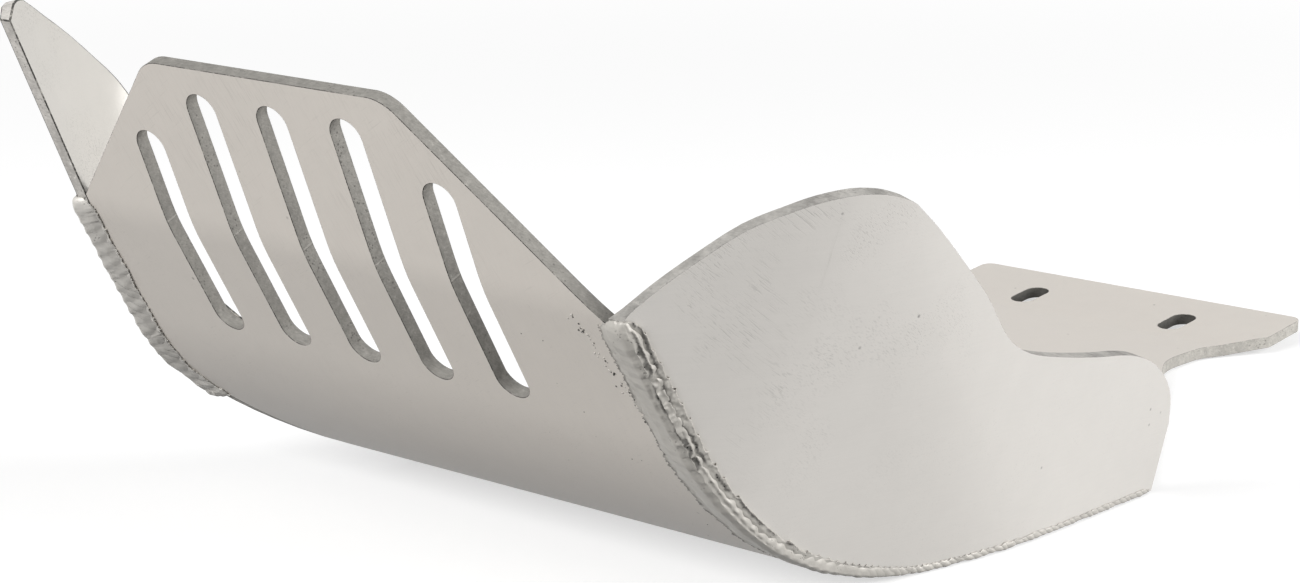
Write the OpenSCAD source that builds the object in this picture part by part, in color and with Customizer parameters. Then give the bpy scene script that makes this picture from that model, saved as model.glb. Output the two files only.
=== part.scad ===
// Motorcycle skid plate: one folded aluminium sheet carries the belly, the slotted front
// panel and the rear mounting tab, and two shaped side plates are welded to its edges.
// X runs across the motorcycle, the front is towards -Y, and the belly's underside is z = 0.

/* [Sheet] */
// Thickness of the aluminium sheet
sheet_t = 4; // [3:0.5:5]

/* [Belly] */
// Length of the flat belly, from the front bend to the fold of the rear tab
belly_l = 259; // [240:1:280]
// Distance from the front bend back to the middle of the part, where the origin lies
origin_back = 80; // [60:1:100]

/* [Front panel] */
// Outer radius of the large front bend
bend_r = 110; // [100:1:120]
// Angle of the large front bend
bend_a = 59.3; // [56:0.1:62]
// Length of the flat between the large bend and the upper fold
lower_l = 35.4; // [32:0.2:40]
// Outer radius of the upper fold
fold_r = 67.4; // [50:0.2:80]
// Angle of the upper fold
fold_a = 8.6; // [6:0.1:11]
// Length of the upper flat, from the fold to the top edge
upper_l = 47.8; // [44:0.2:54]
// Width of the top edge between the 45 degree corners
top_w = 90; // [80:1:100]
// Radius on the corners of the top edge
top_corner_r = 4; // [2:0.5:8]

/* [Vent slots] */
// Width of each vent slot
slot_w = 11.2; // [8:0.2:14]
// Distance between the slots' centre lines
slot_pitch = 27.5; // [24:0.5:30]
// Distance from the end of the large bend up to the slots' lower ends
slot_low = 2; // [1:0.5:8]
// Distance from the top edge down to the three middle slots
slot_top = 7.9; // [6:0.1:14]
// Distance from the top edge down to the two outer slots
slot_top_outer = 22.6; // [18:0.2:30]

/* [Rear tab] */
// Width of the neck in front of the tab
neck_w = 109.2; // [100:0.2:120]
// Distance from the rear edge forward to the start of the neck's straight sides
neck_back = 71.4; // [66:0.2:80]
// Width across the tab's two ears
ear_w = 136.8; // [128:0.2:146]
// Length of the tab behind its fold
tab_l = 42.7; // [40:0.1:48]
// Angle by which the tab is folded up
tab_a = 6.3; // [3:0.1:9]
// Inner radius of the tab's fold
tab_fold_r = 36; // [20:1:40]
// Length of each ear along the motorcycle
ear_l = 23; // [20:0.5:26]
// Length over which the tab narrows from the ears to the neck
flare_l = 23; // [18:0.5:28]
// Radius on the ears' rear corners
ear_corner_r = 4; // [2:0.5:8]
// Width of the two mounting slots
mount_w = 9; // [7:0.1:10]
// Length of the two mounting slots over their round ends
mount_l = 18; // [14:0.5:20]
// Distance between the mounting slots' centre lines
mount_pitch = 63.2; // [56:0.2:70]
// Distance from the tab's rear edge to the middle of the mounting slots
mount_back = 24.9; // [20:0.1:28]

/* [Left wing] */
// Distance from the middle to the wing's outer face at the belly
left_out = 126.5; // [118:0.5:132]
// Angle by which the rear part leans outward
left_lean = 10; // [6:0.5:14]
// Distance from the front bend back to the first fold of the wing
left_fold_1 = 22.3; // [16:0.1:28]
// Angle by which the middle part turns inward, towards the front
left_toe_1 = 13.4; // [10:0.1:16]
// Distance from the front bend forward to the second fold of the wing
left_fold_2 = 83.5; // [80:0.1:87]
// Angle by which the front part turns inward, towards the front
left_toe_2 = 33; // [30:0.1:36]
// Distance from the front bend back to the wing's rear end
left_rear = 104; // [96:0.5:108]
// Height of the hump in the wing's top edge
left_hump_h = 117; // [108:0.5:124]

/* [Right wing] */
// Distance from the middle to the horn's outer face at the weld
right_out = 101; // [98:0.5:104]
// Angle by which the horn turns inward, towards the front
right_toe = 26.6; // [22:0.2:31]
// Distance from the middle to the tail's outer face
right_tail = 61.5; // [60:0.5:66]
// Distance from the front bend back to the tail's end
right_rear = 60; // [50:1:80]
// Height of the horn's tip
right_tip_h = 147; // [138:0.5:156]

/* [Welds] */
// Width of the front beads on the sheet
bead_w = 10.5; // [8:0.5:12]
// Height of the front beads above the sheet
bead_h = 2; // [1.5:0.1:2.6]
// Width of the bead on the left wing along the belly
bead_belly = 2.4; // [2:0.1:4]
// Distance between the ripples of a bead
ripple = 4.4; // [3:0.1:6]

/* [Hidden] */
$fn = 96;

// The sheet's outer face, as the distance s along it: s = 0 is where the front bend starts,
// s grows up the front panel, and a negative s lies back along the flat belly.
s_bend = bend_r * bend_a * PI / 180;
s_fold = s_bend + lower_l;
s_flat = s_fold + fold_r * fold_a * PI / 180;
s_top = s_flat + upper_l;
front_a = bend_a + fold_a;

function slope(s) =
    s <= 0 ? 0 :
    s < s_bend ? s / bend_r * 180 / PI :
    s < s_fold ? bend_a :
    s < s_flat ? bend_a + (s - s_fold) / fold_r * 180 / PI : front_a;
function along(a, d) = [-cos(a) * d, sin(a) * d];
function bent(r, a0, a1) = [r * (sin(a0) - sin(a1)), r * (cos(a0) - cos(a1))];
function outer(s) =
    s <= 0 ? [-s, 0] :
    bent(bend_r, 0, min(slope(s), bend_a))
    + along(bend_a, max(0, min(s - s_bend, lower_l)))
    + bent(fold_r, bend_a, max(bend_a, slope(s)))
    + along(front_a, max(0, s - s_flat));
function inward(s) = [sin(slope(s)), cos(slope(s))];

// Smooth blends of flat faces, which turn each fold of a side plate into a soft bend.
function total(v, i = 0) = i < len(v) ? v[i] + total(v, i + 1) : 0;
function soft_min(v, w) = min(v) - w * ln(total([for (a = v) exp((min(v) - a) / w)]));
function soft_max(v, w) = -soft_min([for (a = v) -a], w);

// Outer face of the left wing: rear, middle and front parts.
left_mid_lean = 0.324;
left_front_lean = 0.299;
left_soft = 2.3;
left_face = function (y, z) soft_min([
    left_out + tan(left_lean) * z,
    left_out + tan(left_toe_1) * (y - left_fold_1) + left_mid_lean * z,
    left_out - tan(left_toe_1) * (left_fold_1 + left_fold_2)
        + tan(left_toe_2) * (y + left_fold_2) + left_front_lean * z], left_soft);

// Outer face of the right wing: horn, diagonal and tail, on the part's other side.
right_soft = 4.5;
right_horn_lean = 0.28;
right_diag = 36.1;
right_diag_x = 36.2;
right_diag_lean = 0.217;
right_tail_lean = 0.1;
right_crease = 0.12;
horn_at = [-108, 78];
right_face = function (y, z) soft_max([
    soft_min([
        right_out + tan(right_toe) * (y - horn_at[0]) + right_horn_lean * (z - horn_at[1])
            + right_crease * min(0, y + 0.465 * z + 56.8),
        right_diag_x - tan(right_diag) * y + right_diag_lean * z], right_soft),
    right_tail + right_tail_lean * z], 1.5);

// How fast a face moves outward along y and z, and its length across the sheet.
function grad(f, p) = [
    (f(p[0] + 0.5, p[1]) - f(p[0] - 0.5, p[1])),
    (f(p[0], p[1] + 0.5) - f(p[0], p[1] - 0.5))];
function across(f, p) = let (g = grad(f, p)) sqrt(1 + g * g);
function normal(f, p) = let (g = grad(f, p), n = sqrt(1 + g * g)) [1 / n, -g[0] / n, -g[1] / n];
// Edge of the folded sheet, against the inner face of a wing
function sheet_edge(f, s) = let (p = outer(s)) f(p[0], p[1]) - sheet_t * across(f, p);

// A smooth curve through a list of control rows
function curve_at(v, i, f) = let (
    n = len(v) - 1,
    b = v[i], c = v[min(i + 1, n)],
    a = i > 0 ? v[i - 1] : 2 * b - c,
    d = i + 2 <= n ? v[i + 2] : 2 * c - b)
    0.5 * (2 * b + (c - a) * f + (2 * a - 5 * b + 4 * c - d) * f * f
        + (3 * b - a - 3 * c + d) * f * f * f);
function curve(v, parts) = [
    for (i = [0 : len(v) - 2]) for (k = [0 : parts - 1]) curve_at(v, i, k / parts),
    v[len(v) - 1]];

// A polygon whose corners [x, y, r] are rounded with their own radius
function unit(v) = v / norm(v);
function xy(p) = [p[0], p[1]];
function corner(a, b, c) =
    b[2] == 0 ? [xy(b)] :
    let (
        u = unit(xy(a) - xy(b)), w = unit(xy(c) - xy(b)),
        half = acos(max(-1, min(1, u * w))) / 2,
        mid = xy(b) + unit(u + w) * b[2] / sin(half),
        p = xy(b) + u * b[2] / tan(half) - mid,
        q = xy(b) + w * b[2] / tan(half) - mid,
        n = 8)
    [for (k = [0 : n]) let (g = unit(p * (n - k) / n + q * k / n)) mid + g * b[2]];
function rounded(v) = [
    for (i = [0 : len(v) - 1])
        each corner(v[(i + len(v) - 1) % len(v)], v[i], v[(i + 1) % len(v)])];

// Puts the middle of the belly at the origin.
module place() {
    translate([0, -origin_back, 0]) children();
}

// The sheet's section: each fold carries what lies beyond it, and the flats lap a little into it.
lap = 0.3;

module flat_run(l) {
    translate([-lap, 0]) square([l + 2 * lap, sheet_t]);
}

module fold_run(r, a) {
    intersection() {
        translate([0, r]) difference() {
            circle(r);
            circle(r - sheet_t);
        }
        translate([0, r]) polygon([[0, 0], [0, -3 * r], [3 * r * sin(a), -3 * r * cos(a)]]);
    }
    translate([0, r]) rotate(a) translate([0, -r]) children();
}

spare = 6;
tab_bend_r = tab_fold_r + sheet_t;
tab_bend_l = tab_bend_r * tab_a * PI / 180;

module section() {
    flat_run(belly_l);
    translate([belly_l, 0]) fold_run(tab_bend_r, tab_a) flat_run(tab_l - tab_bend_l + spare);
    mirror([1, 0]) fold_run(bend_r, bend_a) {
        flat_run(lower_l);
        translate([lower_l, 0]) fold_run(fold_r, fold_a) flat_run(upper_l + spare);
    }
}

// Outline of the front panel, square to its upper flat: the top edge and its corners
module panel_outline() {
    reach = 160;
    drop = reach - top_w / 2;
    polygon(rounded([
        [-top_w / 2, 0, top_corner_r], [top_w / 2, 0, top_corner_r],
        [reach, -drop, 0], [reach, -3 * reach, 0], [-reach, -3 * reach, 0], [-reach, -drop, 0]]));
}

// Outline of the belly from below: its edges follow the side plates down to the neck
rear_y = belly_l + tab_l * cos(tab_a);
left_shoulder_r = 6;
neck_r = 34;
flare_r = 24;
ear_r = 4;
steps = 24;
front_s = s_top + 4 * spare;

function left_edge() = [
    for (k = [0 : steps]) let (s = front_s * (1 - k / steps)) [sheet_edge(left_face, s), outer(s)[0], 0],
    for (k = [1 : 12]) let (y = left_rear * k / 12) [sheet_edge(left_face, -y), y, 0]];
function right_edge() = [
    for (k = [0 : 12]) let (y = right_rear * (1 - k / 12)) [-sheet_edge(right_face, -y), y, 0],
    for (k = [1 : 2 * steps]) let (s = front_s * k / (2 * steps))
        [-sheet_edge(right_face, s), outer(s)[0], 0]];

module plan_outline() {
    left_x = sheet_edge(left_face, -left_rear);
    neck_y = rear_y - neck_back;
    ear_y = rear_y - ear_l;
    polygon(rounded([
        each left_edge(),
        [left_x, left_rear + left_shoulder_r / 3, left_shoulder_r],
        [neck_w / 2, neck_y, neck_r],
        [neck_w / 2, ear_y - flare_l, flare_r],
        [ear_w / 2, ear_y, ear_r],
        [ear_w / 2, rear_y, ear_corner_r],
        [-ear_w / 2, rear_y, ear_corner_r],
        [-ear_w / 2, ear_y, ear_r],
        [-neck_w / 2, ear_y - flare_l, flare_r],
        [-neck_w / 2, neck_y, 0],
        each right_edge()]));
}

// A cutter with round ends along its own y, square to the sheet
module slot(w, y0, y1) {
    cut = 6 * sheet_t;
    for (y = [y0 + w / 2, y1 - w / 2]) translate([0, y, -cut / 2]) cylinder(d = w, h = cut);
    translate([-w / 2, y0 + w / 2, -cut / 2]) cube([w, y1 - y0 - w, cut]);
}

// Moves a slot onto the outer face at s, square to it, with its y running up the panel
module on_panel(s) {
    p = outer(s);
    translate([0, p[0], p[1]]) rotate([180 - slope(s), 0, 0]) children();
}

module vent_slots() {
    for (k = [-2 : 2]) translate([k * slot_pitch, 0, 0]) {
        top = abs(k) == 2 ? slot_top_outer : slot_top;
        mid = (s_fold + s_flat) / 2;
        bottom = s_bend + slot_low;
        on_panel(s_bend + 0.001) slot(slot_w, bottom - s_bend, mid - s_bend + slot_w);
        on_panel(s_flat + 0.001) slot(slot_w, mid - s_flat - slot_w, s_top - top - s_flat);
    }
}

module mount_slots() {
    for (side = [-1, 1])
        translate([side * mount_pitch / 2, rear_y, (rear_y - belly_l) * tan(tab_a)])
            rotate([tab_a, 0, 0])
                slot(mount_w, -mount_back - mount_l / 2, -mount_back + mount_l / 2);
}

// One folded sheet: rear tab, belly, large front bend and slotted front panel
module main_plate() {
    wide = 400;
    color("silver") place() difference() {
        intersection() {
            rotate([90, 0, 90]) linear_extrude(wide, center = true) section();
            translate([0, 0, -wide]) linear_extrude(2 * wide) plan_outline();
            translate([0, outer(s_top)[0], outer(s_top)[1]]) rotate([180 - front_a, 0, 0])
                linear_extrude(2 * wide, center = true) panel_outline();
        }
        vent_slots();
        mount_slots();
    }
}

// Side plate: each row of stations [s, y, z] spans from the seam at s to a point on the free edge.
rows = 6;
function station_point(f, st, j) = let (
    v = j / rows, a = outer(st[0]), b = [st[1], st[2]], p = a * (1 - v) + b * v)
    [f(p[0], p[1]), p[0], p[1]];
function inner_point(f, st, j) = let (
    v = j / rows, a = outer(st[0]), b = [st[1], st[2]], p = a * (1 - v) + b * v,
    n = normal(f, p), q = p - v * sheet_t * [n[1], n[2]])
    [f(q[0], q[1]) - sheet_t * across(f, q), q[0], q[1]];

module side_plate(f, stations) {
    n = len(stations);
    m = rows + 1;
    pts = concat(
        [for (st = stations) for (j = [0 : rows]) station_point(f, st, j)],
        [for (st = stations) for (j = [0 : rows]) inner_point(f, st, j)]);
    o = function (i, j) i * m + j;
    q = function (i, j) n * m + i * m + j;
    two = function (a, b, c, d) [[a, b, c], [a, c, d]];
    faces = [
        for (i = [0 : n - 2]) for (j = [0 : rows - 1])
            each concat(two(o(i, j), o(i, j + 1), o(i + 1, j + 1), o(i + 1, j)),
                two(q(i, j), q(i + 1, j), q(i + 1, j + 1), q(i, j + 1))),
        for (i = [0 : n - 2])
            each concat(two(o(i, 0), o(i + 1, 0), q(i + 1, 0), q(i, 0)),
                two(o(i, rows), q(i, rows), q(i + 1, rows), o(i + 1, rows))),
        for (j = [0 : rows - 1])
            each concat(two(o(0, j), q(0, j), q(0, j + 1), o(0, j + 1)),
                two(o(n - 1, j), o(n - 1, j + 1), q(n - 1, j + 1), q(n - 1, j)))];
    polyhedron(pts, faces, convexity = 8);
}

// Free edge of the left wing: up from the weld, over the hump, and down to the rear lobe.
hump = left_hump_h;
left_front = [
    [s_fold + 4, -113.6, hump - 27], [146, -109, hump - 21.5], [137, -102, hump - 14.6],
    [124, -93, hump - 7], [108, -84, hump - 3], [91, -76.5, hump - 0.8], [72, -67, hump],
    [48, -58, hump - 1], [24, -52, hump - 2.6], [0, -48.5, hump - 3.8],
    [-left_fold_1, -46, hump - 5]];
left_back = [
    [-left_fold_1, -46, hump - 5], [-33, -35, 104], [-44, -21, 92.7], [-53, -7.2, 81.1],
    [-60, 1.1, 72.4], [-66, 9, 65.3], [-73, 20, 59.8], [-80, 35.5, 55.8], [-87, 56, 51.8], [0.9 * -left_rear, left_rear - 30, 48.9],
    [0.93 * -left_rear, left_rear - 17, 44.6], [0.96 * -left_rear, left_rear - 7, 38.2],
    [0.985 * -left_rear, left_rear - 0.5, 30.5], [-left_rear, left_rear + 2, 21]];

module left_wing() {
    list = concat([for (p = curve(left_front, 3)) p], [for (p = curve(left_back, 3)) p]);
    kept = [for (i = [0 : len(list) - 1]) if (i == 0 || norm(list[i] - list[i - 1]) > 0.01) list[i]];
    color("lightgray") place() side_plate(left_face, kept);
}

// Free edge of the right wing: horn tip, top edge, then down and back along the belly.
tip = right_tip_h;
right_horn = [
    [s_top + 6.5, -134.8, tip - 0.5], [s_top + 2, -129, tip], [197, -118, tip - 6],
    [185, -106, tip - 13.2], [171, -94, tip - 21.6], [156, -84.5, tip - 28.6],
    [140, -79.6, tip - 36], [124, -78, 101], [108, -76.4, 90], [95, -74.6, 79],
    [84, -72, 68], [72, -68, 56.5], [61, -62, 47.5], [48, -51, 38.8], [34, -36, 31],
    [16, -15, 23], [-8, 8, 16.4], [-30, 32, 9.6], [-right_rear + 6, right_rear - 5, 3],
    [-right_rear, right_rear, 1.2]];

module right_wing() {
    color("lightgray") place() mirror([1, 0, 0]) side_plate(right_face, curve(right_horn, 2));
}

// A weld bead over the outside corner between the sheet and a side plate. Rows of settings are
// [s, width on the sheet, width on the wing, height on the sheet, height on the wing].
function fade(s, s0, s1) = let (d = min(s - s0, s1 - s)) d >= 4 ? 1 : sqrt(1 - pow(1 - d / 4.4, 2));
function pick(v, k) = [for (r = v) [r[0], r[k]]];
crown = 4;

module bead(f, s0, s1, settings) {
    n = ceil((s1 - s0) / (ripple / 4.5));
    m = crown + 3;
    pts = [for (i = [0 : n]) let (
        s = s0 + (s1 - s0) * i / n, e = fade(s, s0 - 0.4, s1 + 0.4), p = outer(s), w = inward(s),
        wa = lookup(s, pick(settings, 1)) * e, wc = lookup(s, pick(settings, 2)) * e,
        x = f(p[0], p[1]), c = p + wc * w, g = normal(f, p),
        edge_a = [x - wa, p[0], p[1]], edge_c = [f(c[0], c[1]), c[0], c[1]], joint = [x, p[0], p[1]])
        for (k = [0 : m - 1])
            k == m - 1 ? joint :
            let (
                u = k / (m - 2),
                base = u < 0.5 ? edge_a * (1 - 2 * u) + joint * 2 * u
                    : joint * (2 - 2 * u) + edge_c * (2 * u - 1),
                wave = 1 + 0.12 * sin(360 * s / ripple + 230 * u),
                lift = pow(sin(180 * u), 0.75) * e * wave,
                ha = lookup(s, pick(settings, 3)), hc = lookup(s, pick(settings, 4)))
            base + lift * (ha * [0, -w[0], -w[1]] + hc * g)];
    faces = [
        for (i = [0 : n - 1]) for (k = [0 : m - 1]) let (
            a = i * m + k, b = i * m + (k + 1) % m, c = a + m, d = b + m)
            each [[a, c, d], [a, d, b]],
        for (k = [1 : m - 2]) each [[0, k, k + 1], [n * m, n * m + k + 1, n * m + k]]];
    polyhedron(pts, faces, convexity = 8);
}

// Where the left bead reaches its full width on the bend, and the right bead's thick lower end
bead_thin = 4;
bead_grow = 26;
bead_mid = 60;
bead_full = 100;
blob_low = 75;
blob_high = 82;
bead_edge = 0.8;

module left_weld() {
    color("gainsboro") place() bead(left_face, -left_rear + 1, s_fold + 2, [
        [-left_rear, bead_edge, bead_belly, 0.05, 0.7], [bead_thin, bead_edge, bead_belly, 0.05, 0.8],
        [bead_grow, bead_w / 3, bead_belly + 1.4, 0.3, 1.1],
        [bead_mid, bead_w - 2, bead_belly + 2, bead_h / 2, 1.4],
        [bead_full, bead_w, bead_belly + 1.8, bead_h, 1.4], [s_fold, bead_w, bead_belly + 1.2, bead_h, 1.4]]);
}

module right_weld() {
    color("gainsboro") place() mirror([1, 0, 0]) bead(right_face, blob_low, s_flat - 2, [
        [blob_low, bead_w - 2, 4.4, bead_h + 0.8, 3.4], [blob_high, bead_w - 3.5, 3.4, bead_h, 1.8],
        [s_flat, bead_w - 3.5, 3.8, bead_h, 1.8]]);
}

main_plate();
left_wing();
right_wing();
left_weld();
right_weld();
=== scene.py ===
import math
import random

import bmesh
import bpy
from mathutils import Matrix, Vector, noise


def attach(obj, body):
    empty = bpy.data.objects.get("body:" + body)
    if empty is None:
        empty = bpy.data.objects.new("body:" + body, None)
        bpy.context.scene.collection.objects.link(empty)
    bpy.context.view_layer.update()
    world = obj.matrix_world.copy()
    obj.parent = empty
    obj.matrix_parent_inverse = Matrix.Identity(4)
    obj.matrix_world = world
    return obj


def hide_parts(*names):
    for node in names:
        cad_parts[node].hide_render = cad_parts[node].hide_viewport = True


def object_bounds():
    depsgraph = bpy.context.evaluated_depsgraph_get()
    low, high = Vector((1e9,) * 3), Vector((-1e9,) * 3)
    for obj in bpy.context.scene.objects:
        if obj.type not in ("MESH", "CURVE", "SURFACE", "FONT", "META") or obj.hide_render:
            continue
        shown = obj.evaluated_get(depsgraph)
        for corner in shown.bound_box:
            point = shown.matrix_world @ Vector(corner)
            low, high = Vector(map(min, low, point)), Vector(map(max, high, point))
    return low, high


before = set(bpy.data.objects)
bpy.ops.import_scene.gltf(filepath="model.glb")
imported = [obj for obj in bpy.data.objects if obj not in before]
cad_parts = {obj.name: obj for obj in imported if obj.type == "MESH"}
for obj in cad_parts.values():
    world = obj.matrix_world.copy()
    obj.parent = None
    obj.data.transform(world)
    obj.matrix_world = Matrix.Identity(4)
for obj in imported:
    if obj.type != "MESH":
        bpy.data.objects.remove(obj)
cad_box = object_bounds()

# Main plate
# One blank of 4 mm aluminium, laser cut with its vents and mounting slots, then folded: the
# belly, the big front bend, a slight fold across the vents and the tab at the rear. It is
# left bare, so it shows the mill's satin grain, handling scratches and dark cut edges.

MM = 0.001
BELLY_FRONT = -80 * MM  # where the flat belly ends and the front bend begins
BELLY_REAR = 179 * MM  # where the rear tab is folded up
TAB_A = math.radians(6.3)
BEND_R = 110 * MM
BEND_A = math.radians(59.3)
BEND_L = BEND_R * BEND_A
LOWER_L = 35.4 * MM  # the flat between the big bend and the slight fold
FOLD_R = 67.4 * MM
FOLD_A = math.radians(8.6)
FRONT_A = BEND_A + FOLD_A
TOP_HALF = 45 * MM  # half the top edge, up to its 45 degree corners
CORNER_R = 13 * MM
CORNER_CUTS = (5, 12, 19, 26, 33, 40)  # degrees, where planes touch a corner's arc
VENTS_HALF = 62.5 * MM  # half the width that the vents take up
SLOTS_FRONT = 185 * MM  # the part of the tab that holds the mounting slots
SLOTS_REAR = 215 * MM
SLOTS_HALF = 44 * MM
EDGE_BREAK = 0.5 * MM  # the burr and deburred corner along every cut edge


def on_front(s):
    """The outer face's (y, z) and slope, at s along the sheet from the start of the bend."""
    a = max(0.0, min(s / BEND_R, BEND_A))
    rest = s - BEND_R * a
    y, z = BELLY_FRONT - BEND_R * math.sin(a), BEND_R * (1 - math.cos(a))
    flat = min(rest, LOWER_L)
    y, z = y - flat * math.cos(a), z + flat * math.sin(a)
    if rest > LOWER_L:
        b = min(a + (rest - LOWER_L) / FOLD_R, FRONT_A)
        y -= FOLD_R * (math.sin(b) - math.sin(a))
        z += FOLD_R * (math.cos(a) - math.cos(b))
        far = max(0.0, rest - LOWER_L - FOLD_R * FOLD_A)
        y, z, a = y - far * math.cos(b), z + far * math.sin(b), b
    return y, z, a


def beside_front(point):
    """How far along the sheet a point lies from the start of the bend, and how deep inside it."""
    out, up = BELLY_FRONT - point.y, BEND_R - point.z
    if out <= 0:
        return out, point.z
    turned = math.atan2(out, up)
    if 0 <= turned <= BEND_A:
        return BEND_R * turned, BEND_R - math.hypot(out, up)
    y, z, a = on_front(BEND_L)
    gone, rise = y - point.y, point.z - z
    s = BEND_L + gone * math.cos(a) + rise * math.sin(a)
    depth = rise * math.cos(a) - gone * math.sin(a)
    if s > BEND_L + LOWER_L:
        y, z, a = on_front(BEND_L + LOWER_L + FOLD_R * FOLD_A)
        gone, rise = y - point.y, point.z - z
        s = max(s, BEND_L + LOWER_L + FOLD_R * FOLD_A + gone * math.cos(a) + rise * math.sin(a))
        depth = rise * math.cos(a) - gone * math.sin(a)
    return s, depth


class Wire:
    """A value running between shader nodes, with arithmetic that adds Math nodes."""

    def __init__(self, board, socket):
        self.board = board
        self.socket = socket

    def math(self, operation, *values):
        return self.board.node("ShaderNodeMath", {"operation": operation}, *values)

    def __add__(self, other):
        return self.math("ADD", self, other)

    def __radd__(self, other):
        return self.math("ADD", other, self)

    def __sub__(self, other):
        return self.math("SUBTRACT", self, other)

    def __rsub__(self, other):
        return self.math("SUBTRACT", other, self)

    def __mul__(self, other):
        return self.math("MULTIPLY", self, other)

    def __rmul__(self, other):
        return self.math("MULTIPLY", other, self)

    def __truediv__(self, other):
        return self.math("DIVIDE", self, other)

    def __abs__(self):
        return self.math("ABSOLUTE", self)

    def root(self):
        return self.math("SQRT", self)

    def clamp(self, low=0.0, high=1.0):
        return self.math("MAXIMUM", self.math("MINIMUM", self, high), low)

    def step(self, low, high):
        """0 at low, 1 at high and an even ramp between; low may be above high."""
        return ((self - low) / (high - low)).clamp()


class Board:
    """A tree of shader nodes. Its one method for nodes takes a type, settings and values."""

    def __init__(self, tree):
        self.tree = tree

    def node(self, kind, settings, *values, out=0, **named):
        made = self.tree.nodes.new(kind)
        for key, value in settings.items():
            setattr(made, key, value)
        for key, value in [*enumerate(values), *named.items()]:
            self.feed(made.inputs[key], value)
        return Wire(self, made.outputs[out])

    def feed(self, socket, value):
        if isinstance(value, Wire):
            self.tree.links.new(value.socket, socket)
        else:
            socket.default_value = value

    def place(self, along=(1, 0, 0), size=(1, 1, 1)):
        """Object coordinates turned so that X runs along a direction, in units of size."""
        spot = self.node("ShaderNodeTexCoord", {}, out="Object")
        turn = Vector(along).to_track_quat("X", "Z").to_euler()
        return self.node("ShaderNodeMapping", {"vector_type": "TEXTURE"}, spot, (0, 0, 0), turn,
                         size)

    def xyz(self):
        spot = self.node("ShaderNodeTexCoord", {}, out="Object")
        return [self.node("ShaderNodeSeparateXYZ", {}, spot, out=axis) for axis in "XYZ"]

    def noise(self, spot, scale, detail, rough=0.55):
        return self.node("ShaderNodeTexNoise", {}, Vector=spot, Scale=scale, Detail=detail,
                         Roughness=rough)

    def specks(self, spot, scale, size):
        """Small round spots whose radius is a share of their spacing, 1 at their middles."""
        far = self.node("ShaderNodeTexVoronoi", {}, Vector=spot, Scale=scale, Randomness=1.0)
        return far.step(size, size * 0.4)

    def scratches(self, along, length, width, keep, spread=30.0):
        """Straight fine lines along one direction: stretched noise cut to its peaks, in patches."""
        lines = self.noise(self.place(along, (length, width, width)), 1.0, 1.0)
        patches = self.noise(self.place(), spread, 2.0)
        return lines.step(keep, keep + 0.06) * patches.step(0.44, 0.62)

    def tinted(self, tint, shade):
        """A colour made lighter or darker by a value."""
        grey = self.node("ShaderNodeCombineColor", {}, shade, shade, shade)
        made = self.tree.nodes.new("ShaderNodeMix")
        made.data_type = "RGBA"
        made.blend_type = "MULTIPLY"
        for key, value in ((0, 1.0), (6, (*tint, 1)), (7, grey)):
            self.feed(made.inputs[key], value)
        return Wire(self, made.outputs[2])


def finish_metal(board, tint, shade, roughness, height, distance, metallic=0.12, gloss=0.4):
    """Feeds a metal's Principled shader. The relief is height times distance, in metres."""
    shader = board.tree.nodes["Principled BSDF"]
    shader.inputs["Specular IOR Level"].default_value = gloss
    board.feed(shader.inputs["Base Color"], board.tinted(tint, shade))
    board.feed(shader.inputs["Roughness"], roughness)
    board.feed(shader.inputs["Metallic"], metallic)
    relief = board.node("ShaderNodeBump", {}, Height=height, Distance=distance, Strength=1.0)
    board.feed(shader.inputs["Normal"], relief)


def new_metal(name):
    material = bpy.data.materials.new(name)
    material.use_nodes = True
    return material, Board(material.node_tree)


def satin_sheet(name, tint, grain_size, runs, worn):
    """Bare rolled sheet: a warm grey with faint clouds, fine grain, scratches and specks.

    runs holds the directions of the main scratches, which worn(board) masks, of the stray
    ones and of the short flecks. Each lies in the sheet's plane."""
    material, board = new_metal(name)
    spot = board.place()
    clouds = board.noise(spot, 11.0, 4.0)
    mottle = board.noise(spot, 130.0, 3.0, 0.65)
    grain = board.noise(board.place(size=grain_size), 1.0, 2.0)
    lines = board.scratches(runs[0], 13 * MM, 0.28 * MM, 0.585) * worn(board)
    stray = board.scratches(runs[1], 9 * MM, 0.28 * MM, 0.66, 45.0)
    flecks = board.scratches(runs[2], 4 * MM, 0.3 * MM, 0.67, 60.0)
    pits = board.specks(spot, 110.0, 0.07) * board.noise(spot, 40.0, 1.0).step(0.52, 0.6)
    marks = (lines + stray * 0.35 + flecks * 0.35).clamp()
    shade = (1.0 + (clouds - 0.5) * 0.12 + (mottle - 0.5) * 0.05 + (grain - 0.5) * 0.05
             - marks * 0.24 - pits * 0.5)
    roughness = 0.42 + (clouds - 0.5) * 0.12 + (grain - 0.5) * 0.10 + marks * 0.12
    height = grain * 0.4 + mottle * 0.3 - marks * 1.0 - pits * 2.0
    finish_metal(board, tint, shade, roughness.clamp(0.25, 0.8), height, 0.025 * MM)
    return material


HIGHLIGHT_FROM = 40 * MM  # towards the rear the cut edges get a painted highlight
HIGHLIGHT_FULLY = 90 * MM


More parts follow.
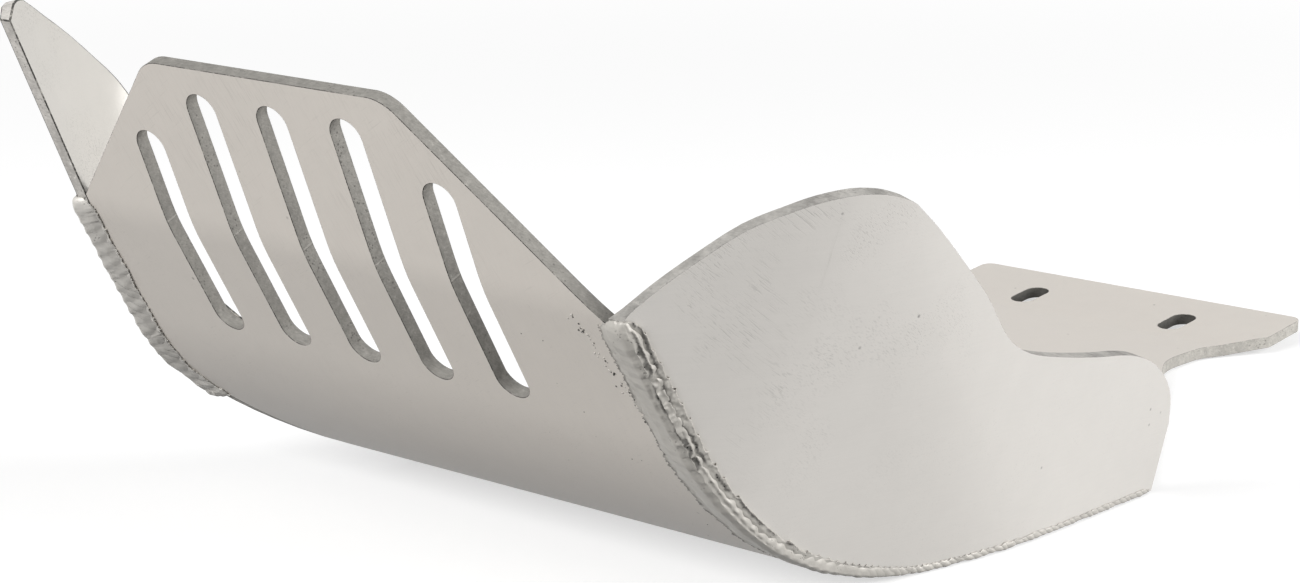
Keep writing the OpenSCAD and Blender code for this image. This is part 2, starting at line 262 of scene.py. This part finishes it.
def cut_edge(name, tint, patch, tick):
    """The laser's cut: dull and mottled, with fine drag lines straight across the sheet.

    patch is how far large patches differ, and tick how bright the mark at the vents' fold is."""
    material, board = new_metal(name)
    spot = board.place()
    mottle = board.noise(spot, 520.0, 4.0, 0.7)
    blots = board.noise(spot, 75.0, 3.0)
    drag = board.noise(board.place((0, 0.5, 0.86), (0.35 * MM, 3 * MM, 0.9 * MM)), 1.0, 2.0)
    pits = board.specks(spot, 800.0, 0.3) * blots.step(0.48, 0.6)
    glints = mottle.step(0.6, 0.7) * blots.step(0.5, 0.4)
    x, y, z = board.xyz()
    fold_y, fold_z, lean = on_front(BEND_L + LOWER_L + FOLD_R * FOLD_A / 2)
    off = (y - fold_y) * -math.cos(lean) + (z - fold_z) * math.sin(lean)
    at_vents = abs(x).step(VENTS_HALF + 0.5 * MM, VENTS_HALF - 0.5 * MM)
    seam = abs(off).step(0.45 * MM, 0.2 * MM) * at_vents
    # The walls of the mounting slots are made darker: painted shade in the recesses.
    in_shaded_slots = (y.step(SLOTS_FRONT - MM, SLOTS_FRONT + MM) * y.step(SLOTS_REAR + MM, SLOTS_REAR - MM)
                * abs(x).step(SLOTS_HALF + MM, SLOTS_HALF - MM))
    # Towards the rear the cut edges are made lighter: a painted highlight, kept out of the mounting
    # slots.
    painted_highlight = y.step(HIGHLIGHT_FROM, HIGHLIGHT_FULLY) * (1 - in_shaded_slots)
    shade = (1.0 + (mottle - 0.5) * 0.9 + (blots - 0.5) * patch + (drag - 0.5) * 0.5
             - pits * 0.4 + glints * 0.35 + seam * tick) * (1.0 + painted_highlight * 0.7 - in_shaded_slots * 0.65)
    roughness = (0.72 + (mottle - 0.5) * 0.3 - glints * 0.2).clamp(0.4, 0.95)
    height = mottle * 1.0 + drag * 0.7 - pits * 1.2 + seam * 2.0
    finish_metal(board, tint, shade, roughness, height, 0.10 * MM, 0.15, 0.15)
    return material


def burr_line(name):
    """The melted rim along a cut: a dark broken line with bright beads in it."""
    material, board = new_metal(name)
    spot = board.place()
    beads = board.noise(spot, 900.0, 2.0, 0.6)
    gaps = board.noise(spot, 120.0, 2.0)
    y = board.xyz()[1]
    # Towards the rear the rim is made lighter: the same painted highlight as on the cut edges.
    shade = (0.45 + beads.step(0.54, 0.62) * 1.6 + gaps.step(0.54, 0.64) * 1.2
             + y.step(HIGHLIGHT_FROM, HIGHLIGHT_FULLY) * 1.8)
    roughness = (0.7 - beads * 0.3).clamp(0.3, 0.9)
    finish_metal(board, (0.12, 0.115, 0.105), shade, roughness, beads, 0.08 * MM, 0.15, 0.2)
    return material


def soften_corners(bm):
    """Rounds the two corners of the top edge with planes that touch the corner's arc."""
    top = max((vert.co for vert in bm.verts if vert.co.y < BELLY_FRONT), key=lambda co: co.z)
    up = Vector((0, -math.cos(FRONT_A), math.sin(FRONT_A)))
    for side in (-1, 1):
        beside = TOP_HALF - CORNER_R * math.tan(math.radians(45) / 2)
        middle = Vector((side * beside, top.y, top.z)) - up * CORNER_R
        for degrees in CORNER_CUTS:
            a = math.radians(degrees)
            out = Vector((side * math.sin(a), 0, 0)) + up * math.cos(a)
            geom = bm.verts[:] + bm.edges[:] + bm.faces[:]
            cut = bmesh.ops.bisect_plane(bm, geom=geom, plane_co=middle + out * CORNER_R,
                                         plane_no=out, clear_outer=True)
            rim = [made for made in cut["geom_cut"] if isinstance(made, bmesh.types.BMEdge)]
            bmesh.ops.edgenet_fill(bm, edges=rim)


def dress(node, name, metals, is_face, shape=None):
    """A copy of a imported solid, joined up, with smooth folds and worked edges.

    metals are for its faces, its cut edges and its rims, and shape(bm) may alter it first."""
    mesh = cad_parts[node].data.copy()
    mesh.name = name
    mesh.materials.clear()
    bm = bmesh.new()
    bm.from_mesh(mesh)
    bmesh.ops.remove_doubles(bm, verts=bm.verts, dist=1e-6)
    if shape:
        shape(bm)
        bmesh.ops.recalc_face_normals(bm, faces=bm.faces)
    bmesh.ops.dissolve_limit(bm, angle_limit=math.radians(0.4), verts=bm.verts, edges=bm.edges,
                             use_dissolve_boundaries=False)
    bm.normal_update()
    for face in bm.faces:
        face.material_index = 0 if is_face(face.calc_center_median(), face.normal) else 1
        face.smooth = True
    for edge in bm.edges:
        turned = edge.calc_face_angle(0) > math.radians(28)
        split = len({face.material_index for face in edge.link_faces}) > 1
        edge.smooth = not (turned or split)
    bm.to_mesh(mesh)
    bm.free()
    for made in metals:
        mesh.materials.append(made)
    piece = bpy.data.objects.new(name, mesh)
    bpy.context.scene.collection.objects.link(piece)
    rim = piece.modifiers.new("rim", "BEVEL")
    rim.width = EDGE_BREAK
    rim.segments = 2
    rim.limit_method = "ANGLE"
    rim.angle_limit = math.radians(40)
    rim.material = 2
    even = piece.modifiers.new("even_normals", "WEIGHTED_NORMAL")
    even.keep_sharp = False
    even.weight = 60
    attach(piece, "root")
    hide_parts(node)


def on_sheet(centre, normal):
    """True on the sheet's own faces, and False on what the laser cut."""
    lean = -TAB_A
    if centre.y <= BELLY_REAR:
        s = beside_front(centre)[0]
        lean = on_front(max(0.0, s))[2]
    square = Vector((0, math.sin(lean), math.cos(lean)))
    return abs(normal.dot(square)) > 0.9


def worn_near_top(board):
    """Handling marks gather on the upper part of the front panel."""
    z = board.xyz()[2]
    return z.step(60 * MM, 110 * MM) * 0.4


burr = burr_line("burr")
plate_satin = satin_sheet("plate_satin", (0.63, 0.588, 0.538), (0.5 * MM, 14 * MM, 14 * MM),
                          [(0.35, 0.38, -0.86), (0.85, -0.2, 0.49), (0.2, 0.37, -0.91)],
                          worn_near_top)
plate_cut = cut_edge("plate_cut", (0.26, 0.25, 0.23), 0.5, 0.35)
dress("main_plate", "skid_plate", [plate_satin, plate_cut, burr], on_sheet,
      soften_corners)

# Side plates
# Two flat blanks of the same sheet, each folded along soft lines and stood against the main
# plate's edges: a long wing on the left, and a horn with a low tail on the right.


def worn_in_front(board):
    """The side plates were scuffed towards the front and the top edge."""
    y, z = board.xyz()[1:]
    return y.step(-70 * MM, -125 * MM) * z.step(20 * MM, 70 * MM)


def on_wing(centre, normal):
    """True on a side plate's own faces, which all look mostly sideways."""
    return abs(normal.x) > 0.68


WING_GRAIN = (12 * MM, 12 * MM, 0.5 * MM)
SCUFFS_RUN = [(0.2, 0.78, -0.60), (-0.155, 0.9, 0.4), (0.35, 0.35, -0.9)]
wing_satin = satin_sheet("wing_satin", (0.665, 0.64, 0.605), WING_GRAIN, SCUFFS_RUN, worn_in_front)
# The horn's sheet is a darker copy of the wing's: painted shade on the horn's faces.
horn_shaded_satin = satin_sheet("horn_shaded_satin", (0.55, 0.53, 0.495), WING_GRAIN, SCUFFS_RUN, worn_in_front)
wing_cut = cut_edge("wing_cut", (0.37, 0.357, 0.335), 1.6, 0.0)
# The horn's cut edge is a lighter copy of the wing's: a painted highlight.
horn_highlit_cut = cut_edge("horn_highlit_cut", (0.52, 0.50, 0.47), 0.9, 0.0)
dress("left_wing", "left_side_plate", [wing_satin, wing_cut, burr], on_wing)
dress("right_wing", "right_side_plate", [horn_shaded_satin, horn_highlit_cut, burr], on_wing)

# Left weld
# A wide bead runs down the outside corner of the front bend, with a ragged undercut beside
# the wing and a rough toe, then thins to a bright rope of small puddles along the belly.
# Its undercut, the hollows between its puddles and its edge on the panel get painted shade.

VOXEL = 0.35 * MM
PACKED_RIPPLE = 4.4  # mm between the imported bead's ripples
PACKED_TURN = math.radians(230)  # how far they lag across it
LEFT_WIDTH = [(4, 0.8), (26, 3.5), (60, 8.5), (100, 10.5)]  # mm up the joint, and mm wide
UNDERCUT = [(20, 2.8), (27, 3.0), (52, 4.2), (64, 3.5), (90, 3.0), (104, 2.3), (116, 1.5),
            (127, 0.9), (138, 2.0), (154, 2.6)]  # mm up the joint, and mm in from the corner


def weld_metal(name, tint):
    """Weld metal: satin, darkened by the toe's frosted tone and by painted shade in its cracks and
    hollows, with pinholes where the bead is rough.
    """
    material, board = new_metal(name)
    spot = board.place()
    tone_and_shade = board.node("ShaderNodeAttribute", {"attribute_name": "tone_and_shade"}, out="Fac")
    clouds = board.noise(spot, 90.0, 3.0)
    fine = board.noise(spot, 700.0, 3.0, 0.7)
    rough_spots = (board.noise(spot, 150.0, 2.0) + tone_and_shade * 0.25).step(0.56, 0.66)
    pins = board.specks(spot, 900.0, 0.28) * rough_spots
    # The attribute's darkening is the toe's frosted tone plus painted shade in cracks, hollows and
    # along edges.
    dark = (tone_and_shade * (0.55 + fine)).clamp()
    shade = 1.0 + (clouds - 0.5) * 0.25 + (fine - 0.5) * 0.12 - dark * 0.72 - pins * 0.4
    roughness = (0.46 + (clouds - 0.5) * 0.25 + dark * 0.4).clamp(0.2, 0.95)
    height = fine * 0.6 + clouds * 1.2 - pins * 1.2
    finish_metal(board, tint, shade, roughness, height, 0.10 * MM, 0.15, 0.35)
    return material


weld = weld_metal("weld_metal", (0.46, 0.44, 0.405))


def between(table, s):
    """A value read off a short table of pairs, with even ramps between them."""
    if s <= table[0][0]:
        return table[0][1]
    for (s0, v0), (s1, v1) in zip(table, table[1:]):
        if s <= s1:
            return v0 + (v1 - v0) * (s - s0) / (s1 - s0)
    return table[-1][1]


def ramp(value, low, high):
    """0 up to low, 1 from high and an even rise between; low may be above high."""
    return max(0.0, min(1.0, (value - low) / (high - low)))


def wander(s, row):
    """A slow drift with small jerks, as a hand-held torch makes."""
    return (noise.noise((s * 0.11, row, 0)) * 0.9 + noise.noise((s * 0.45, row, 4)) * 0.7
            + noise.noise((s * 1.4, row, 8)) * 0.45)


def smooth(bm, verts, passes):
    for done in range(passes):
        bmesh.ops.smooth_vert(bm, verts=verts, factor=0.5, use_axis_x=True, use_axis_y=True,
                              use_axis_z=True)


def lay_bead(node, name, side, metal, shape):
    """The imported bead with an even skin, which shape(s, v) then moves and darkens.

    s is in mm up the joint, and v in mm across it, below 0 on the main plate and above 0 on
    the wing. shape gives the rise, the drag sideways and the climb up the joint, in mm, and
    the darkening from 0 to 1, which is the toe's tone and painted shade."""
    piece = bpy.data.objects.new(name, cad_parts[node].data.copy())
    bpy.context.scene.collection.objects.link(piece)
    bm = bmesh.new()
    bm.from_mesh(piece.data)
    bmesh.ops.remove_doubles(bm, verts=bm.verts, dist=1e-6)
    bm.to_mesh(piece.data)
    corner = {}
    for vert in bm.verts:
        s, depth = beside_front(vert.co)
        if abs(depth) < 0.03 * MM:
            key = round(s / MM)
            corner[key] = max(corner.get(key, 0), side * vert.co.x)
    bm.free()
    corner = sorted(corner.items())
    skin = piece.modifiers.new("skin", "REMESH")
    skin.mode = "VOXEL"
    skin.voxel_size = VOXEL
    even = bpy.data.meshes.new_from_object(
        piece.evaluated_get(bpy.context.evaluated_depsgraph_get()))
    piece.modifiers.clear()
    bm = bmesh.new()
    bm.from_mesh(even)
    smooth(bm, bm.verts, 2)
    bm.normal_update()
    tone_and_shade = bm.verts.layers.float.new("tone_and_shade")
    wing_side = []
    for vert in bm.verts:
        s, depth = beside_front(vert.co)
        s, depth = s / MM, depth / MM
        short = (between(corner, s) - side * vert.co.x) / MM
        v = depth if depth > max(0.0, short) else -short
        rise, drag, climb, dark = shape(s, v)
        lean = on_front(max(0.0, s) * MM)[2]
        vert.co += vert.normal * rise * MM
        vert.co += Vector((side * drag, -climb * math.cos(lean), climb * math.sin(lean))) * MM
        vert[tone_and_shade] = dark
        if v > 0.6:
            wing_side.append(vert)
    smooth(bm, wing_side, 3)
    for vert in bm.verts:
        vert.co.z = max(vert.co.z, cad_box[0].z)
    for face in bm.faces:
        face.smooth = True
        face.material_index = 0
    bm.to_mesh(even)
    bm.free()
    even.name = name
    even.materials.clear()
    even.materials.append(metal)
    piece.data = even
    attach(piece, "root")
    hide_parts(node)


def even_ripple(s, v, on_main, on_side):
    """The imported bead's regular ripple in mm, which a hand-laid bead shows only in part."""
    u = 0.5 + 0.5 * max(-1.0, min(1.0, v / (on_main if v < 0 else on_side)))
    wave = math.sin(2 * math.pi * s / PACKED_RIPPLE + PACKED_TURN * u)
    return 0.27 * wave * max(0.0, math.sin(math.pi * u)) ** 0.75


def left_bead(s, v):
    front = ramp(s, 8, 34)  # 0 along the belly, 1 where the bead is wide
    width = between(LEFT_WIDTH, s)
    cut_v = between(UNDERCUT, s) + wander(s, 3) * 0.7
    broken = ramp(noise.noise((s * 0.16, 11, 5)), -0.35, 0.1)
    cut = math.exp(-((v - cut_v) / 0.34) ** 2) * broken * ramp(s, 20, 30)
    cut *= 0.5 if s < 60 else 1.0
    toe = ramp(v, cut_v - 0.5, cut_v) * ramp(s, 60, 90)
    lip = math.exp(-((v - cut_v + 1.1) / 0.8) ** 2) * ramp(s, 40, 70)
    crumbs = noise.noise((s * 1.1, v * 1.1, 21)) * 0.5 + noise.noise((s * 2.1, v * 2.1, 8)) * 0.4
    slant = s + 0.8 * v + 3.0 * noise.noise((s * 0.15, v * 0.12, 1))
    puddle = math.sin(2 * math.pi * slant / 5.6) * (0.5 + noise.noise((s * 0.09, v * 0.1, 41)))
    shaded_hollow = ramp(-puddle, 0.55, 1.0) * ramp(v, -11, -3)
    lumps = noise.noise((s * 0.13, v * 0.16, 2)) * 0.35
    blob = math.exp(-((s - 148) / 5.5) ** 2 - ((v + 3.5) / 4.5) ** 2)
    rope = abs(math.sin(math.pi * (s - 1.1 * v + 1.4 * noise.noise((s * 0.3, 9, 9))) / 3.0))
    knots = noise.noise((s * 0.16, 2, 17)) * 0.4
    body = lumps - 0.35 + 0.03 * puddle - cut * 0.9 + blob * 0.4
    rise = (front * body - 0.45 * lip) * (1 - toe) + front * toe * (crumbs * 0.8 - 0.85)
    evened = 0.75 + noise.noise((s * 0.1, v * 0.1, 90)) * 0.8
    rise -= front * even_ripple(s, v, width, 4.2) * evened
    rise += (1 - front) * (0.22 * rope - 0.2 + knots)
    drag = ramp(-v, width - 4, width - 0.5) * (wander(s, 31) * 1.3 - 0.4) * front
    # dark is the toe's frosted tone, and painted shade in the undercut, beside its lip, in the
    # hollows between puddles, between the rope's puddles and along the bead's edge on the panel.
    dark = cut * 1.2 + toe * (0.16 + 0.35 * crumbs) + lip * 0.1 + front * shaded_hollow * 0.08
    dark += (1 - front) * ramp(rope, 0.35, 0.0) * 0.55
    dark += 0.7 * ramp(-v, width - 1.9, width - 1.1) * front * ramp(wander(s, 77), -0.5, 0.1)
    climb = 3.2 * ramp(s, 144, 152) * (0.8 + wander(v, 63) * 0.4)
    return rise, drag, climb, max(0.0, min(1.0, dark))


lay_bead("left_weld", "left_bead", 1, weld, left_bead)

# Spatter
# Drops of weld metal thrown on the panel beside the bead's top, and a few stray ones lower
# down. They melted on as they landed, so each is a flattened ball half sunk in the sheet.

NEAR_DROPS = 78
ALL_DROPS = 95
SPRAY_LINE = [(60, 122.7), (110, 114.6), (152, 101.2)]  # mm up the joint, and mm from the middle
chance = random.Random(7)
drops = bmesh.new()
for count in range(ALL_DROPS):
    near = count < NEAR_DROPS
    s = chance.uniform(112, 153) if near else chance.uniform(40, 150)
    inwards = 10.5 + abs(chance.gauss(0, 1.3)) if near else chance.uniform(14, 60)
    x = (between(SPRAY_LINE, s) - inwards) * MM
    y, z, lean = on_front(s * MM)
    radius = chance.uniform(0.12, 0.36) * MM * (1.0 if near else 0.7)
    squashed = Matrix.Rotation(-lean, 4, "X") @ Matrix.Diagonal((1, 1, 0.7, 1))
    drop = bmesh.ops.create_icosphere(drops, subdivisions=2, radius=radius,
                                      matrix=Matrix.Translation((x, y, z)) @ squashed)
    for face in {face for vert in drop["verts"] for face in vert.link_faces}:
        face.smooth = True
        face.material_index = count % 2
drop_mesh = bpy.data.meshes.new("spatter")
drops.to_mesh(drop_mesh)
drops.free()
drop_mesh.materials.append(weld)
drop_mesh.materials.append(burr)
spatter = bpy.data.objects.new("spatter", drop_mesh)
bpy.context.scene.collection.objects.link(spatter)
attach(spatter, "root")

# Right weld
# A shorter and flatter bead holds the horn to the panel's other corner. Slanting grooves
# with painted shade part its puddles, its edge on the panel gets painted shade, and it ends
# in a blob where the torch was lifted.


def right_bead(s, v):
    slash = abs(math.sin(math.pi * (s - 0.9 * v + noise.noise((s * 0.3, 5, 9))) / 3.1))
    lumps = noise.noise((s * 0.2, v * 0.2, 12)) * 0.4
    end = math.exp(-((s - 78) / 3.5) ** 2)
    shown = ramp(noise.noise((s * 0.12, v * 0.2, 33)), -0.25, 0.15) * ramp(s, 141, 128)
    rise = 0.1 * slash * shown - 0.42 + lumps * ramp(s, 150, 138)
    rise += end * 0.35 * (1 + noise.noise((s * 0.9, v * 0.9, 4)))
    rise -= even_ripple(s, v, 7.0, 3.6) * 0.85
    drag = ramp(-v, 4, 7) * wander(s, 51) * 0.6
    # Painted shade in the slanting grooves between puddles and along the bead's edge on the panel.
    dark = ramp(slash, 0.24, 0.0) * shown * 0.6 + 0.25 * ramp(-v, 6.4, 7.5)
    return rise, drag, 0.0, max(0.0, min(1.0, dark))


pale_weld = weld_metal("pale_weld", (0.56, 0.54, 0.505))
lay_bead("right_weld", "right_bead", -1, pale_weld, right_bead)

# Floor, light and camera
# A white studio floor that keeps the object's shadow, a soft key from the view's right, a
# fill from the left and above, and the camera at the left front corner, a little above.

FLOOR_HALF = 30.0
FLOOR_GAP = 0.3 * MM  # below the plate, so that the two never share a face
floor_mesh = bpy.data.meshes.new("floor")
bm = bmesh.new()
bmesh.ops.create_grid(bm, x_segments=1, y_segments=1, size=FLOOR_HALF)
bmesh.ops.translate(bm, verts=bm.verts, vec=(0, 0, cad_box[0].z - FLOOR_GAP))
bm.to_mesh(floor_mesh)
bm.free()
floor = bpy.data.objects.new("floor", floor_mesh)
bpy.context.scene.collection.objects.link(floor)


def seen_rays(board):
    """1 for the camera and for what metal or glass mirrors, 0 for scattered light."""
    rays = [board.node("ShaderNodeLightPath", {}, out=name)
            for name in ("Is Camera Ray", "Is Glossy Ray", "Is Transmission Ray")]
    return (rays[0] + rays[1] + rays[2]).clamp()


paper = bpy.data.materials.new("paper")
paper.use_nodes = True
paper_board = Board(paper.node_tree)
paper.node_tree.nodes.remove(paper.node_tree.nodes["Principled BSDF"])
dull = paper_board.node("ShaderNodeBsdfDiffuse", {}, (0.05, 0.05, 0.05, 1))
pale = paper_board.node("ShaderNodeBsdfDiffuse", {}, (0.52, 0.52, 0.52, 1))
glow = paper_board.node("ShaderNodeEmission", {}, (1, 1, 1, 1), 0.58)
white = paper_board.node("ShaderNodeEmission", {}, (1, 1, 1, 1), 1.0)
shaded = paper_board.node("ShaderNodeAddShader", {}, pale, glow)
floor_x, floor_y = paper_board.xyz()[:2]
reach = (floor_x * floor_x + floor_y * floor_y).root()
near_object = paper_board.node("ShaderNodeMixShader", {}, reach.step(0.45, 1.2), shaded, white)
look = paper_board.node("ShaderNodeMixShader", {}, seen_rays(paper_board), dull, near_object)
paper_board.feed(paper.node_tree.nodes["Material Output"].inputs["Surface"], look)
floor_mesh.materials.append(paper)

world = bpy.data.worlds.new("studio")
bpy.context.scene.world = world
world.use_nodes = True
sky = Board(world.node_tree)
backdrop = world.node_tree.nodes["Background"]
backdrop.inputs["Color"].default_value = (1, 1, 1, 1)
SKY_LIGHT = 0.17  # what the white backdrop lends as light
sky.feed(backdrop.inputs["Strength"], SKY_LIGHT + seen_rays(sky) * (1 - SKY_LIGHT))


def lamp(name, place, size, power):
    light = bpy.data.lights.new(name, "AREA")
    light.shape = "RECTANGLE"
    light.size, light.size_y = size
    light.energy = power
    holder = bpy.data.objects.new(name, light)
    bpy.context.scene.collection.objects.link(holder)
    holder.location = place
    aim = Vector((0, 0, 0.05)) - Vector(place)
    holder.rotation_euler = aim.to_track_quat("-Z", "Y").to_euler()


lamp("key", (1.95, 0.8, 0.8), (1.5, 1.3), 62)
lamp("fill", (-0.35, -2.0, 1.1), (1.6, 1.0), 55)

view = bpy.data.cameras.new("camera")
view.lens = 83.08
view.sensor_width = 36.0
view.clip_start = 0.01
view.clip_end = 80
camera = bpy.data.objects.new("camera", view)
bpy.context.scene.collection.objects.link(camera)
bpy.context.scene.camera = camera
turn, rise, roll = math.radians(40.57), math.radians(13.07), math.radians(0.51)
level_back = Vector((math.sin(turn), -math.cos(turn), 0))
back = level_back * math.cos(rise) + Vector((0, 0, math.sin(rise)))
level_right = Vector((math.cos(turn), math.sin(turn), 0))
level_up = back.cross(level_right)
across = math.cos(roll) * level_right + math.sin(roll) * level_up
upward = -math.sin(roll) * level_right + math.cos(roll) * level_up
camera.location = (0.5721, -0.7276, 0.2596)
camera.rotation_euler = Matrix((across, upward, back)).transposed().to_euler()

bpy.context.scene.view_settings.view_transform = "Standard"
